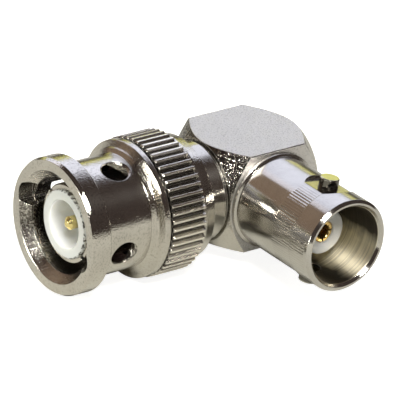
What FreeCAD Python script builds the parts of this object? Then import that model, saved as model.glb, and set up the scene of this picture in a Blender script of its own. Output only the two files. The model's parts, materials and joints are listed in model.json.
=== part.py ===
import FreeCAD, Part
import math
import os
import re

import Sketcher

V = FreeCAD.Vector

# Right-angle bayonet coax adapter, plug to jack.
# The plug axis and the jack axis cross inside the elbow body.  Every turned piece is drawn with its
# own +Z along its mating direction and is then placed: plug pieces point along -X, jack pieces along -Y.
# The row's origin is the centre of the bounding box's bottom face, +Z is up.

SIZES = [
    # name, value in mm (degrees for angles), what it is
    ("push_gap", 0.01, "radial gap of a push fit between two fixed pieces"),
    ("run_gap", 0.06, "radial gap of a turning fit"),
    ("face_gap", 0.02, "axial gap between two pieces that slide or turn on each other"),
    ("edge_break", 0.12, "small chamfer on turned and milled edges"),
    # elbow body
    ("block_width", 10.5, "square bar across flats"),
    ("block_plug_end", 5.17, "crossing to the block's plug-side end face"),
    ("block_far_end", 5.77, "crossing to the block's closed end face"),
    ("block_end_radius", 5.2, "radius of the flat end inside the turned chamfer"),
    ("undercut_radius", 4.75, "turned undercut between the block and its collar"),
    ("undercut_length", 0.3, "length of that undercut"),
    ("collar_radius", 5.05, "collar behind the coupling nut"),
    ("collar_length", 2.37, "collar along the plug axis"),
    ("neck_radius", 4.6, "neck that the coupling nut turns on"),
    ("chamber_radius", 2.4, "hollow around the crossing of the conductors"),
    ("chamber_far", 2.0, "crossing to the hollow's closed end"),
    ("plug_bore_stop", 3.6, "crossing to the bottom of the plug bore"),
    # plug conductors
    ("line_radius", 3.49, "plug dielectric"),
    ("line_front", 21.55, "crossing to the plug dielectric's front"),
    ("line_cup_radius", 2.43, "open cup in the plug dielectric"),
    ("line_cup_depth", 5.15, "depth of that cup"),
    ("pin_radius", 0.675, "plug pin"),
    ("pin_front", 21.25, "crossing to the pin's tip"),
    ("pin_point", 0.35, "length of the pin's tapered tip"),
    ("pin_shank_radius", 1.0, "thick part of the pin inside the dielectric"),
    ("pin_shank_front", 15.4, "crossing to the shank's shoulder"),
    ("pin_tail_radius", 0.5, "tail of the pin in the jack contact's cross hole"),
    ("pin_tail_reach", 1.3, "how far the tail passes the crossing"),
    ("spigot_radius", 4.1, "tail of the outer contact pressed into the neck"),
    ("spigot_length", 2.5, "length of that tail"),
    ("flange_radius", 5.95, "flange that holds the coupling nut"),
    ("flange_length", 1.5, "flange along the axis"),
    ("gasket_seat_radius", 4.06, "outer contact behind the fingers"),
    ("finger_radius", 4.03, "contact fingers, outside"),
    ("finger_setback", 0.35, "dielectric's front to the finger tips"),
    ("finger_slot_length", 5.2, "slots between the fingers"),
    ("finger_slot_width", 0.55, "width of those slots"),
    ("gasket_length", 0.75, "face gasket"),
    ("gasket_radius", 4.8, "face gasket, outside"),
    # spring set
    ("washer_thickness", 0.3, "thrust washers"),
    ("washer_gap", 0.15, "radial gap of thrust washers and wave spring in the nut's hollow"),
    ("spring_height", 1.2, "wave spring, free height"),
    ("spring_strip", 0.22, "wave spring, strip thickness"),
    ("spring_gap", 0.15, "radial gap of the wave spring"),
    # coupling nut, measured from its rear face
    ("nut_length", 15.0, "whole nut"),
    ("nut_back_drop", 0.8, "how far the nut's rear face lies inside the ribs' tops"),
    ("knurl_start", 1.6, "rear face to the knurl"),
    ("knurl_length", 3.9, "knurled length"),
    ("knurl_wall", 1.0, "wall outside the nut's hollow, over the ribs"),
    ("knurl_depth", 0.36, "depth between ribs"),
    ("knurl_gap_width", 0.58, "groove between two ribs at their tops"),
    ("knurl_root_width", 0.14, "groove between two ribs at its bottom"),
    ("lip_thickness", 1.4, "rear lip that the washers push on"),
    ("flange_gap", 0.15, "radial gap of the flange in the nut's hollow"),
    ("cavity_length", 4.75, "length of that hollow"),
    ("relief_width", 0.3, "turned groove in front of the knurl"),
    ("relief_depth", 0.6, "depth of that groove below the ribs' tops"),
    ("bead_length", 0.62, "bead in front of the groove"),
    ("bead_drop", 0.12, "how far the bead lies inside the ribs' tops"),
    ("shoulder_length", 0.33, "cone in front of the bead"),
    ("lip_drop", 0.83, "how far the small lip under the cone lies inside the ribs' tops"),
    ("lip_length", 0.1, "that lip along the axis"),
    ("hollow_length", 0.35, "bevel from the lip into the waist"),
    ("waist_wall", 0.22, "wall left outside the bayonet slots"),
    ("rim_length", 2.2, "front rim"),
    ("rim_radius", 6.93, "front rim"),
    ("rim_chamfer", 0.38, "front chamfer of the rim along the axis"),
    ("rim_chamfer_drop", 0.2, "front chamfer of the rim across"),
    ("mouth_radius", 5.75, "countersunk mouth"),
    ("mouth_depth", 0.95, "depth of the countersink"),
    ("nut_bore_radius", 4.92, "bore that slides over a jack"),
    ("slot_width", 2.2, "bayonet slots"),
    ("slot_gap", 0.05, "radial gap over a stud"),
    ("corner_from_front", 4.82, "front face to the corner holes"),
    ("cam_rise", 1.1, "axial pull of the cam between corner and lock holes"),
    ("nut_hole_radius", 1.32, "lock and corner holes"),
    ("nut_hole_flare", 0.26, "chamfer of those holes"),
    ("scallop_radius", 1.42, "round scallops in the mouth where the slots begin"),
    ("scallop_centre", 4.78, "nut axis to a scallop's axis"),
    ("scallop_depth", 1.7, "front face to the bottom of a scallop"),
    ("nut_clock", -17, "how far the nut is turned on the neck"),
    # jack
    ("jack_reach", 17.32, "crossing to the jack's front"),
    ("jack_rim_radius", 4.83, "front part of the barrel"),
    ("jack_rim_length", 3.0, "front part of the barrel"),
    ("barrel_radius", 4.72, "barrel behind its rim"),
    ("barrel_flange_radius", 4.97, "small flange on the block"),
    ("barrel_flange_length", 0.35, "small flange on the block"),
    ("barrel_tail_radius", 3.9, "tail of the barrel pressed into the block"),
    ("barrel_tail_length", 1.4, "length of that tail"),
    ("jack_bore_radius", 4.07, "bore that takes the plug's fingers"),
    ("jack_bore_depth", 8.4, "front edge to the reference plane"),
    ("jack_mouth_radius", 4.35, "countersunk mouth"),
    ("jack_mouth_depth", 0.4, "depth of the countersink"),
    ("jack_face_radius", 4.56, "flat front ring, outside"),
    ("stud_radius", 0.98, "bayonet studs"),
    ("stud_reach", 5.5, "jack axis to a stud's outer end"),
    ("stud_setback", 4.45, "front edge to a stud's axis"),
    ("stud_chamfer", 0.08, "chamfer on a stud's end"),
    ("stud_clock", 9, "how far the studs stand from upright"),
    ("stud_flat_radius", 2.35, "milled seat around a stud"),
    ("stud_flat_height", 4.38, "jack axis to that seat"),
    ("nose_radius", 2.37, "jack dielectric"),
    ("nose_setback", 3.65, "front edge to the dielectric's face"),
    ("nose_end", 2.62, "crossing to the dielectric's inner end"),
    ("socket_radius", 1.16, "jack contact, fingers"),
    ("socket_setback", 0.12, "dielectric's face to the contact's tip"),
    ("socket_finger_length", 4.0, "thick part of the jack contact"),
    ("socket_hole_radius", 0.7, "hole that takes a pin"),
    ("socket_hole_depth", 3.6, "depth of that hole"),
    ("socket_slot_width", 0.18, "slots of the jack contact"),
    ("socket_slot_length", 2.9, "length of those slots"),
    ("socket_tail_radius", 0.9, "tail of the jack contact"),
    ("socket_tail_reach", 1.4, "how far the tail passes the crossing"),
]

LAYOUT = [
    # places that follow from the sizes, all in mm
    ("collar_end", "block_plug_end + collar_length + undercut_length", "crossing to the collar's front"),
    ("nut_back", "collar_end + face_gap", "crossing to the nut's rear face"),
    ("nut_front", "nut_back + nut_length", "crossing to the nut's front face"),
    ("lip_face", "nut_back + lip_thickness", "front face of the nut's rear lip"),
    ("spring_back", "lip_face + washer_thickness + face_gap * 2", "rear end of the wave spring"),
    ("spring_front", "spring_back + spring_height", "front end of the wave spring"),
    ("neck_end", "spring_front + washer_thickness + face_gap * 2", "crossing to the neck's open end"),
    ("flange_end", "neck_end + flange_length", "front face of the flange"),
    ("slot_radius", "stud_reach + slot_gap", "bottom of the bayonet slots"),
    ("waist_radius", "slot_radius + waist_wall", "waist of the nut"),
    ("cavity_radius", "flange_radius + flange_gap", "hollow for flange and springs"),
    ("washer_radius", "cavity_radius - washer_gap", "thrust washers and wave spring, outside"),
    ("knurl_radius", "cavity_radius + knurl_wall", "over the ribs"),
    ("nut_back_radius", "knurl_radius - nut_back_drop", "rear face of the nut"),
    ("relief_radius", "knurl_radius - relief_depth", "bottom of the groove in front of the knurl"),
    ("bead_radius", "knurl_radius - bead_drop", "bead"),
    ("lip_radius", "knurl_radius - lip_drop", "small lip that the cone ends on"),
    ("bead_back", "knurl_start + knurl_length + relief_width", "nut's rear face to the bead"),
    ("lip_back", "bead_back + bead_length + shoulder_length", "nut's rear face to the small lip"),
    ("finger_front", "line_front - finger_setback", "crossing to the finger tips"),
    ("nose_front", "jack_reach - nose_setback", "crossing to the jack dielectric's face"),
    ("jack_plane", "jack_reach - jack_bore_depth", "crossing to the jack's reference plane"),
    ("socket_front", "nose_front - socket_setback", "crossing to the jack contact's tip"),
    ("crossing_x", "(nut_front - block_far_end) / 2", "crossing in the row's frame"),
    ("crossing_y", "(jack_reach - knurl_radius) / 2", "crossing in the row's frame"),
    ("crossing_z", "knurl_radius", "crossing in the row's frame"),
]

KNURL_RIBS = 54


def sized_sheet(document):
    """Sheet with every size and every place that follows from the sizes."""
    table = document.addObject("Spreadsheet::Sheet", "Sizes")
    for row, (name, value, note) in enumerate(SIZES, start=1):
        table.set("A%d" % row, name)
        table.set("B%d" % row, str(value))
        table.setAlias("B%d" % row, name)
        table.set("C%d" % row, note)
    for row, (name, formula, note) in enumerate(LAYOUT, start=len(SIZES) + 2):
        table.set("A%d" % row, name)
        table.set("B%d" % row, "=" + formula)
        table.setAlias("B%d" % row, name)
        table.set("C%d" % row, note)
    document.recompute()
    return table


# The second document only works out starting values, so the model isn't recomputed for each of them.
reckoner = sized_sheet(FreeCAD.newDocument("reckoning"))
doc = FreeCAD.newDocument("coax_adapter")
sheet = sized_sheet(doc)

NAMES = set(item[0] for item in SIZES) | set(item[0] for item in LAYOUT)


def bound(text):
    """Turn a formula over size names into one that other objects can hold."""
    return re.sub(r"[a-z][a-z_]*", lambda m: "Sizes." + m.group(0) if m.group(0) in NAMES else m.group(0), text)


def size(text):
    """Value of a formula over size names, worked out by the sheet itself."""
    reckoner.set("F1", "=" + text)
    reckoner.recompute()
    return float(reckoner.get("F1"))


def new_body(node, places):
    """Body with a label and a placement bound to the sheet."""
    body = doc.addObject("PartDesign::Body", node)
    body.Label = node
    for path, formula in places.items():
        body.setExpression("Placement." + path, bound(formula))
    return body


def plug_body(node, clock="0"):
    """Body whose +Z is the plug's mating direction (-X of the row), turned by a clock angle."""
    body = new_body(node, {"Base.x": "crossing_x", "Base.y": "crossing_y", "Base.z": "crossing_z"})
    turn = FreeCAD.Rotation(V(0, 1, 0), -90).multiply(FreeCAD.Rotation(V(0, 0, 1), size(clock)))
    body.Placement = FreeCAD.Placement(body.Placement.Base, turn)
    return body


def jack_body(node, clock="0"):
    """Body whose +Z is the jack's mating direction (-Y of the row), turned by a clock angle."""
    body = new_body(node, {"Base.x": "crossing_x", "Base.y": "crossing_y", "Base.z": "crossing_z"})
    turn = FreeCAD.Rotation(V(1, 0, 0), 90).multiply(FreeCAD.Rotation(V(0, 0, 1), size(clock)))
    body.Placement = FreeCAD.Placement(body.Placement.Base, turn)
    return body


def plane_of(body, role):
    for item in body.Origin.OriginFeatures:
        if item.Role == role:
            return item
    raise ValueError(role)


def sketch_on(body, role, name, offset=None, shift=None):
    """Empty sketch on one of the body's own planes, lifted off it, or shifted up in it, by a formula."""
    sketch = body.newObject("Sketcher::SketchObject", name)
    sketch.AttachmentSupport = [(plane_of(body, role), "")]
    sketch.MapMode = "FlatFace"
    if offset is not None:
        sketch.setExpression("AttachmentOffset.Base.z", bound(offset))
    if shift is not None:
        sketch.setExpression("AttachmentOffset.Base.y", bound(shift))
    return sketch


def outline(sketch, points):
    """Closed outline through points given as pairs of formulas, each coordinate bound to the sheet."""
    spots = [(size(across), size(along)) for across, along in points]
    first = sketch.GeometryCount
    count = len(points)
    for i in range(count):
        start = spots[i]
        end = spots[(i + 1) % count]
        sketch.addGeometry(Part.LineSegment(V(start[0], start[1], 0), V(end[0], end[1], 0)), False)
    for i in range(count):
        sketch.addConstraint(Sketcher.Constraint("Coincident", first + i, 2, first + (i + 1) % count, 1))
    for i in range(count):
        for kind, formula, value in (("DistanceX", points[i][0], spots[i][0]),
                                     ("DistanceY", points[i][1], spots[i][1])):
            if formula == "0":
                lock = Sketcher.Constraint("PointOnObject", first + i, 1, -2 if kind == "DistanceX" else -1)
                sketch.addConstraint(lock)
                continue
            index = sketch.addConstraint(Sketcher.Constraint(kind, -1, 1, first + i, 1, value))
            sketch.setExpression("Constraints[%d]" % index, bound(formula))
    return sketch


def ring(sketch, across, along, radius):
    """Circle with its centre and radius bound to the sheet."""
    index = sketch.addGeometry(Part.Circle(V(size(across), size(along), 0), V(0, 0, 1), size(radius)), False)
    for kind, formula in (("DistanceX", across), ("DistanceY", along)):
        if formula == "0":
            lock = Sketcher.Constraint("PointOnObject", index, 3, -2 if kind == "DistanceX" else -1)
            sketch.addConstraint(lock)
            continue
        row = sketch.addConstraint(Sketcher.Constraint(kind, -1, 1, index, 3, size(formula)))
        sketch.setExpression("Constraints[%d]" % row, bound(formula))
    row = sketch.addConstraint(Sketcher.Constraint("Radius", index, size(radius)))
    sketch.setExpression("Constraints[%d]" % row, bound(radius))
    return sketch


def turned(body, name, points, cut=False):
    """Revolve an outline of (radius, along) pairs about the body's Z axis, adding or cutting."""
    sketch = outline(sketch_on(body, "XZ_Plane", name + "_profile"), points)
    feature = body.newObject("PartDesign::Groove" if cut else "PartDesign::Revolution", name)
    feature.Profile = sketch
    feature.ReferenceAxis = (sketch, ["V_Axis"])
    feature.Angle = 360
    doc.recompute()
    return feature


def drilled(body, name, role, height, points):
    """Cut an outline of (outward, radius) pairs, turned about a line square to the body's Z axis."""
    sketch = outline(sketch_on(body, role, name + "_profile", shift=height), points)
    feature = body.newObject("PartDesign::Groove", name)
    feature.Profile = sketch
    feature.ReferenceAxis = (sketch, ["H_Axis"])
    feature.Angle = 360
    doc.recompute()
    return feature


def helical_cut(body, name, sketch, rise, turns):
    """Sweep a sketch along a helix about the body's Z axis and cut it out."""
    feature = body.newObject("PartDesign::SubtractiveHelix", name)
    feature.Profile = sketch
    feature.ReferenceAxis = (plane_of(body, "Z_Axis"), [""])
    feature.Mode = "height-turns-angle"
    feature.setExpression("Height", bound(rise))
    feature.setExpression("Turns", bound(turns))
    feature.Angle = 0
    doc.recompute()
    return feature


def extruded(body, name, sketch, length, cut=False, midplane=False, reverse=False):
    """Pad or pocket a sketch by a formula."""
    feature = body.newObject("PartDesign::Pocket" if cut else "PartDesign::Pad", name)
    feature.Profile = sketch
    feature.setExpression("Length", bound(length))
    feature.Midplane = midplane
    feature.Reversed = reverse
    doc.recompute()
    return feature


def around(body, name, feature, count):
    """Repeat a feature evenly about the body's Z axis."""
    pattern = body.newObject("PartDesign::PolarPattern", name)
    pattern.Originals = [feature]
    pattern.Axis = (plane_of(body, "Z_Axis"), [""])
    pattern.Angle = 360
    pattern.Occurrences = count
    body.Tip = pattern
    doc.recompute()
    return pattern


def tube(node, maker, inner, outer, low, high):
    """Plain turned ring between two places along its axis."""
    body = maker(node)
    turned(body, node + "_ring", [(inner, low), (outer, low), (outer, high), (inner, high)])
    return body


# Elbow body: a square bar turned to a chamfer at both ends, with a collar and a neck on its plug side.
elbow = plug_body("elbow_body")
bar = sketch_on(elbow, "XY_Plane", "bar_section", "-block_far_end")
outline(bar, [("-block_width / 2", "-block_width / 2"), ("block_width / 2", "-block_width / 2"),
              ("block_width / 2", "block_width / 2"), ("-block_width / 2", "block_width / 2")])
pad = extruded(elbow, "square_bar", bar, "block_far_end + block_plug_end")
long_edges = ["Edge%d" % (i + 1) for i, edge in enumerate(pad.Shape.Edges)
              if abs(abs(edge.tangentAt(edge.FirstParameter).z) - 1) < 1e-6]
corners = elbow.newObject("PartDesign::Chamfer", "bar_corners")
corners.Base = (pad, long_edges)
corners.setExpression("Size", bound("edge_break"))
doc.recompute()
turned(elbow, "plug_end_chamfer", [("block_end_radius", "block_plug_end"),
                                   ("block_width", "block_plug_end - block_width + block_end_radius"),
                                   ("block_width", "block_plug_end")], cut=True)
turned(elbow, "far_end_chamfer", [("block_end_radius", "-block_far_end"),
                                  ("block_width", "-block_far_end"),
                                  ("block_width", "block_width - block_end_radius - block_far_end")], cut=True)
turned(elbow, "collar_and_neck", [
    ("0", "block_plug_end - edge_break"),
    ("undercut_radius", "block_plug_end - edge_break"),
    ("undercut_radius", "block_plug_end + undercut_length"),
    ("collar_radius - edge_break", "block_plug_end + undercut_length"),
    ("collar_radius", "block_plug_end + undercut_length + edge_break"),
    ("collar_radius", "collar_end - edge_break"),
    ("collar_radius - edge_break", "collar_end"),
    ("neck_radius", "collar_end"),
    ("neck_radius", "neck_end - edge_break"),
    ("neck_radius - edge_break", "neck_end"),
    ("0", "neck_end")])
turned(elbow, "plug_bore", [
    ("0", "-chamber_far"),
    ("chamber_radius", "-chamber_far"),
    ("chamber_radius", "plug_bore_stop"),
    ("line_radius + push_gap", "plug_bore_stop"),
    ("line_radius + push_gap", "neck_end - spigot_length - face_gap"),
    ("spigot_radius + push_gap", "neck_end - spigot_length - face_gap"),
    ("spigot_radius + push_gap", "neck_end + edge_break"),
    ("0", "neck_end + edge_break")], cut=True)
side_bore = ring(sketch_on(elbow, "XZ_Plane", "jack_bore_section"), "0", "0", "nose_radius + push_gap")
extruded(elbow, "jack_bore", side_bore, "block_width", cut=True, reverse=True)
seat = ring(sketch_on(elbow, "XZ_Plane", "barrel_seat_section", "block_width / 2"),
            "0", "0", "barrel_tail_radius + push_gap")
extruded(elbow, "barrel_seat", seat, "barrel_tail_length + face_gap", cut=True)

# Plug outer contact: pressed tail, flange that holds the nut, gasket seat and slotted fingers.
contact = plug_body("plug_outer_contact", "-40")
turned(contact, "contact_shell", [
    ("line_radius + push_gap", "neck_end - spigot_length"),
    ("spigot_radius", "neck_end - spigot_length"),
    ("spigot_radius", "neck_end"),
    ("flange_radius", "neck_end"),
    ("flange_radius", "flange_end"),
    ("gasket_seat_radius", "flange_end"),
    ("gasket_seat_radius", "flange_end + gasket_length + spigot_length"),
    ("finger_radius", "flange_end + gasket_length + spigot_length + edge_break"),
    ("finger_radius", "finger_front - edge_break * 2"),
    ("finger_radius - edge_break", "finger_front"),
    ("line_radius + push_gap", "finger_front")])
slots = sketch_on(contact, "XY_Plane", "finger_slot_section", "finger_front - finger_slot_length")
outline(slots, [("0", "-finger_slot_width / 2"), ("flange_radius", "-finger_slot_width / 2"),
                ("flange_radius", "finger_slot_width / 2"), ("0", "finger_slot_width / 2")])
finger_slot = extruded(contact, "finger_slot", slots, "finger_slot_length", cut=True, reverse=True)
around(contact, "finger_slots", finger_slot, 4)

# Plug dielectric, open in front, and the pin through it.
line = plug_body("plug_dielectric")
turned(line, "dielectric", [
    ("pin_shank_radius + push_gap", "plug_bore_stop + face_gap"),
    ("line_radius", "plug_bore_stop + face_gap"),
    ("line_radius", "line_front - edge_break"),
    ("line_radius - edge_break", "line_front"),
    ("line_cup_radius + edge_break", "line_front"),
    ("line_cup_radius", "line_front - edge_break"),
    ("line_cup_radius", "line_front - line_cup_depth"),
    ("pin_radius + push_gap", "line_front - line_cup_depth"),
    ("pin_radius + push_gap", "pin_shank_front + push_gap"),
    ("pin_shank_radius + push_gap", "pin_shank_front + push_gap")])
pin = plug_body("plug_pin")
turned(pin, "pin_turning", [
    ("0", "-pin_tail_reach"),
    ("pin_tail_radius", "-pin_tail_reach"),
    ("pin_tail_radius", "plug_bore_stop - edge_break"),
    ("pin_shank_radius", "plug_bore_stop - edge_break"),
    ("pin_shank_radius", "pin_shank_front"),
    ("pin_radius", "pin_shank_front"),
    ("pin_radius", "pin_front - pin_point"),
    ("pin_radius / 2", "pin_front - pin_point * 0.15"),
    ("pin_radius / 4", "pin_front"),
    ("0", "pin_front")])

# Face gasket and the spring set between the nut's lip and the flange.
tube("face_gasket", plug_body, "gasket_seat_radius + push_gap", "gasket_radius",
     "flange_end + push_gap", "flange_end + gasket_length")
rear_washer = tube("rear_thrust_washer", plug_body, "neck_radius + run_gap", "washer_radius",
                   "lip_face + face_gap", "lip_face + face_gap + washer_thickness")
tube("front_thrust_washer", plug_body, "neck_radius + push_gap", "washer_radius",
     "neck_end - face_gap - washer_thickness", "neck_end - face_gap")


def wave_washer(label, inner, outer, low, height, strip, waves):
    """Flat strip swept round a ring whose height swings in full waves."""
    middle = (inner + outer) / 2
    swing = (height - strip) / 2
    spots = []
    for i in range(waves * 8):
        turn = 2 * math.pi * i / (waves * 8)
        lift = low + height / 2 + swing * math.sin(waves * turn)
        spots.append(V(middle * math.cos(turn), middle * math.sin(turn), lift))
    path = Part.BSplineCurve()
    path.interpolate(Points=spots, PeriodicFlag=True)
    half = (outer - inner) / 2
    start = spots[0]
    corners_at = [start + V(-half, 0, -strip / 2), start + V(half, 0, -strip / 2),
                  start + V(half, 0, strip / 2), start + V(-half, 0, strip / 2)]
    section = Part.makePolygon(corners_at + corners_at[:1])
    sweep = Part.BRepOffsetAPI.MakePipeShell(Part.Wire(path.toShape()))
    sweep.setBiNormalMode(V(0, 0, 1))
    sweep.add(section, False, False)
    sweep.build()
    sweep.makeSolid()
    washer = doc.addObject("Part::Feature", label)
    washer.Label = label
    washer.Shape = sweep.shape()
    washer.Placement = rear_washer.Placement
    for path_name, formula in (("x", "crossing_x"), ("y", "crossing_y"), ("z", "crossing_z")):
        washer.setExpression("Placement.Base." + path_name, bound(formula))
    return washer


wave = wave_washer("wave_spring", size("neck_radius + spring_gap"), size("washer_radius - spring_gap"),
                   size("spring_back"), size("spring_height"), size("spring_strip"), 3)

# Coupling nut.  It is drawn from its rear face (z = 0); the lock holes lie on its X axis and the
# bayonet slots on its Y axis.
nut = plug_body("coupling_nut", "nut_clock")
nut.setExpression("Placement.Base.x", bound("crossing_x - nut_back"))
turned(nut, "nut_turning", [
    ("neck_radius + run_gap", "0"),
    ("nut_back_radius", "0"),
    ("knurl_radius - knurl_depth * 1.3", "knurl_start * 0.7"),
    ("knurl_radius - knurl_depth * 1.3", "knurl_start"),
    ("knurl_radius", "knurl_start"),
    ("knurl_radius", "knurl_start + knurl_length - edge_break"),
    ("knurl_radius - edge_break", "knurl_start + knurl_length"),
    ("relief_radius", "knurl_start + knurl_length"),
    ("relief_radius", "bead_back"),
    ("bead_radius", "bead_back"),
    ("bead_radius", "bead_back + bead_length"),
    ("lip_radius", "lip_back"),
    ("lip_radius", "lip_back + lip_length"),
    ("waist_radius", "lip_back + lip_length + hollow_length"),
    ("waist_radius", "nut_length - rim_length"),
    ("rim_radius - edge_break", "nut_length - rim_length"),
    ("rim_radius", "nut_length - rim_length + edge_break"),
    ("rim_radius", "nut_length - rim_chamfer"),
    ("rim_radius - rim_chamfer_drop", "nut_length"),
    ("mouth_radius", "nut_length"),
    ("nut_bore_radius", "nut_length - mouth_depth"),
    ("nut_bore_radius", "lip_thickness + cavity_length"),
    ("cavity_radius", "lip_thickness + cavity_length"),
    ("cavity_radius", "lip_thickness"),
    ("neck_radius + run_gap", "lip_thickness")])
scallop = ring(sketch_on(nut, "XY_Plane", "scallop_section", "nut_length"),
               "0", "scallop_centre", "scallop_radius")
scallop_cut = extruded(nut, "scallop", scallop, "scallop_depth", cut=True)
LOCK_Z = "(nut_length - corner_from_front - cam_rise)"
CORNER_Z = "(nut_length - corner_from_front)"
HOLE = [("nut_bore_radius - slot_gap * 6", "0"), ("nut_bore_radius - slot_gap * 6", "nut_hole_radius"),
        ("waist_radius - nut_hole_flare", "nut_hole_radius"),
        ("waist_radius + nut_hole_flare", "nut_hole_radius + nut_hole_flare * 2"),
        ("waist_radius + nut_hole_flare", "0")]
lock_hole = drilled(nut, "lock_hole", "XZ_Plane", LOCK_Z, HOLE)
corner_hole = drilled(nut, "corner_hole", "YZ_Plane", CORNER_Z, HOLE)
cam = outline(sketch_on(nut, "XZ_Plane", "cam_section"), [
    ("nut_bore_radius - slot_gap * 6", LOCK_Z + " - slot_width / 2"),
    ("slot_radius", LOCK_Z + " - slot_width / 2"),
    ("slot_radius", LOCK_Z + " + slot_width / 2"),
    ("nut_bore_radius - slot_gap * 6", LOCK_Z + " + slot_width / 2")])
cam_cut = helical_cut(nut, "cam_groove", cam, "cam_rise", "0.25")
entry = outline(sketch_on(nut, "XY_Plane", "entry_slot_section", CORNER_Z + " - slot_width / 2"), [
    ("-slot_width / 2", "nut_bore_radius / 2"), ("slot_width / 2", "nut_bore_radius / 2"),
    ("slot_width / 2", "slot_radius - slot_gap * 4"), ("slot_width / 2 - slot_gap * 4", "slot_radius"),
    ("-slot_width / 2 + slot_gap * 4", "slot_radius"), ("-slot_width / 2", "slot_radius - slot_gap * 4")])
entry_cut = extruded(nut, "entry_slot", entry, "corner_from_front + slot_width", cut=True, reverse=True)
opposite = around(nut, "opposite_side", cam_cut, 2)
opposite.Originals = [cam_cut, entry_cut, scallop_cut, lock_hole, corner_hole]
doc.recompute()
knurl = sketch_on(nut, "XY_Plane", "knurl_groove_section", "knurl_start")
outline(knurl, [("knurl_radius - knurl_depth", "-knurl_root_width / 2"),
                ("knurl_radius + knurl_depth", "-knurl_gap_width + knurl_root_width / 2"),
                ("knurl_radius + knurl_depth", "knurl_gap_width - knurl_root_width / 2"),
                ("knurl_radius - knurl_depth", "knurl_root_width / 2")])
knurl_cut = extruded(nut, "knurl_groove", knurl, "knurl_length + edge_break", cut=True, reverse=True)
around(nut, "knurl_ribs", knurl_cut, KNURL_RIBS)

# Jack barrel, its two pressed studs, and the insulated contact inside it.
barrel = jack_body("jack_barrel", "-stud_clock")
turned(barrel, "barrel_turning", [
    ("nose_radius + push_gap", "block_width / 2 - barrel_tail_length"),
    ("barrel_tail_radius", "block_width / 2 - barrel_tail_length"),
    ("barrel_tail_radius", "block_width / 2 + face_gap"),
    ("barrel_flange_radius", "block_width / 2 + face_gap"),
    ("barrel_flange_radius", "block_width / 2 + barrel_flange_length"),
    ("barrel_radius", "block_width / 2 + barrel_flange_length + edge_break"),
    ("barrel_radius", "jack_reach - jack_rim_length"),
    ("jack_rim_radius", "jack_reach - jack_rim_length"),
    ("jack_rim_radius", "jack_reach - edge_break * 2.5"),
    ("jack_face_radius", "jack_reach"),
    ("jack_mouth_radius", "jack_reach"),
    ("jack_bore_radius", "jack_reach - jack_mouth_depth"),
    ("jack_bore_radius", "jack_plane"),
    ("nose_radius + push_gap", "jack_plane")])
STUD_Z = "(jack_reach - stud_setback)"
seat_section = ring(sketch_on(barrel, "XZ_Plane", "stud_seat_section", "stud_flat_height"),
                    "0", STUD_Z, "stud_flat_radius")
stud_seat = extruded(barrel, "stud_seat", seat_section, "jack_rim_radius", cut=True, reverse=True)
hole_section = ring(sketch_on(barrel, "XZ_Plane", "stud_hole_section", "jack_bore_radius / 2"),
                    "0", STUD_Z, "stud_radius + push_gap")
stud_hole = extruded(barrel, "stud_hole", hole_section, "jack_rim_radius", cut=True, reverse=True)
both_studs = around(barrel, "opposite_stud", stud_seat, 2)
both_studs.Originals = [stud_seat, stud_hole]
doc.recompute()


def stud(node, clock):
    """Bayonet stud: a short pin with a chamfered end, standing across the jack."""
    body = new_body(node, {"Base.x": "crossing_x", "Base.y": "crossing_y - jack_reach + stud_setback",
                           "Base.z": "crossing_z"})
    body.Placement = FreeCAD.Placement(body.Placement.Base, FreeCAD.Rotation(V(0, 1, 0), size(clock)))
    turned(body, node + "_turning", [
        ("0", "jack_bore_radius + push_gap"),
        ("stud_radius", "jack_bore_radius + push_gap * 4"),
        ("stud_radius", "stud_reach - stud_chamfer"),
        ("stud_radius - stud_chamfer", "stud_reach"),
        ("0", "stud_reach")])
    return body


upper_stud = stud("upper_stud", "stud_clock")
lower_stud = stud("lower_stud", "stud_clock + 180")

nose = jack_body("jack_dielectric")
turned(nose, "nose_turning", [
    ("socket_tail_radius + push_gap", "nose_end"),
    ("nose_radius", "nose_end"),
    ("nose_radius", "nose_front - edge_break"),
    ("nose_radius - edge_break", "nose_front"),
    ("socket_radius + push_gap", "nose_front"),
    ("socket_radius + push_gap", "socket_front - socket_finger_length - face_gap"),
    ("socket_tail_radius + push_gap", "socket_front - socket_finger_length - face_gap")])
socket = jack_body("jack_contact")
turned(socket, "socket_turning", [
    ("0", "-socket_tail_reach"),
    ("socket_tail_radius", "-socket_tail_reach"),
    ("socket_tail_radius", "socket_front - socket_finger_length"),
    ("socket_radius", "socket_front - socket_finger_length"),
    ("socket_radius", "socket_front - edge_break"),
    ("socket_radius - edge_break", "socket_front"),
    ("socket_hole_radius + edge_break", "socket_front"),
    ("socket_hole_radius", "socket_front - edge_break"),
    ("socket_hole_radius", "socket_front - socket_hole_depth"),
    ("0", "socket_front - socket_hole_depth")])
pin_hole = drilled(socket, "pin_hole", "XZ_Plane", "0", [
    ("-socket_tail_radius * 2", "0"), ("-socket_tail_radius * 2", "pin_tail_radius + push_gap"),
    ("socket_tail_radius * 2", "pin_tail_radius + push_gap"), ("socket_tail_radius * 2", "0")])
socket_slots = sketch_on(socket, "XY_Plane", "socket_slot_section", "socket_front - socket_slot_length")
outline(socket_slots, [
    ("0", "-socket_slot_width / 2"), ("socket_radius * 2", "-socket_slot_width / 2"),
    ("socket_radius * 2", "socket_slot_width / 2"), ("0", "socket_slot_width / 2")])
socket_slot = extruded(socket, "socket_slot", socket_slots, "socket_slot_length", cut=True, reverse=True)
around(socket, "socket_slots", socket_slot, 4)

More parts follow.
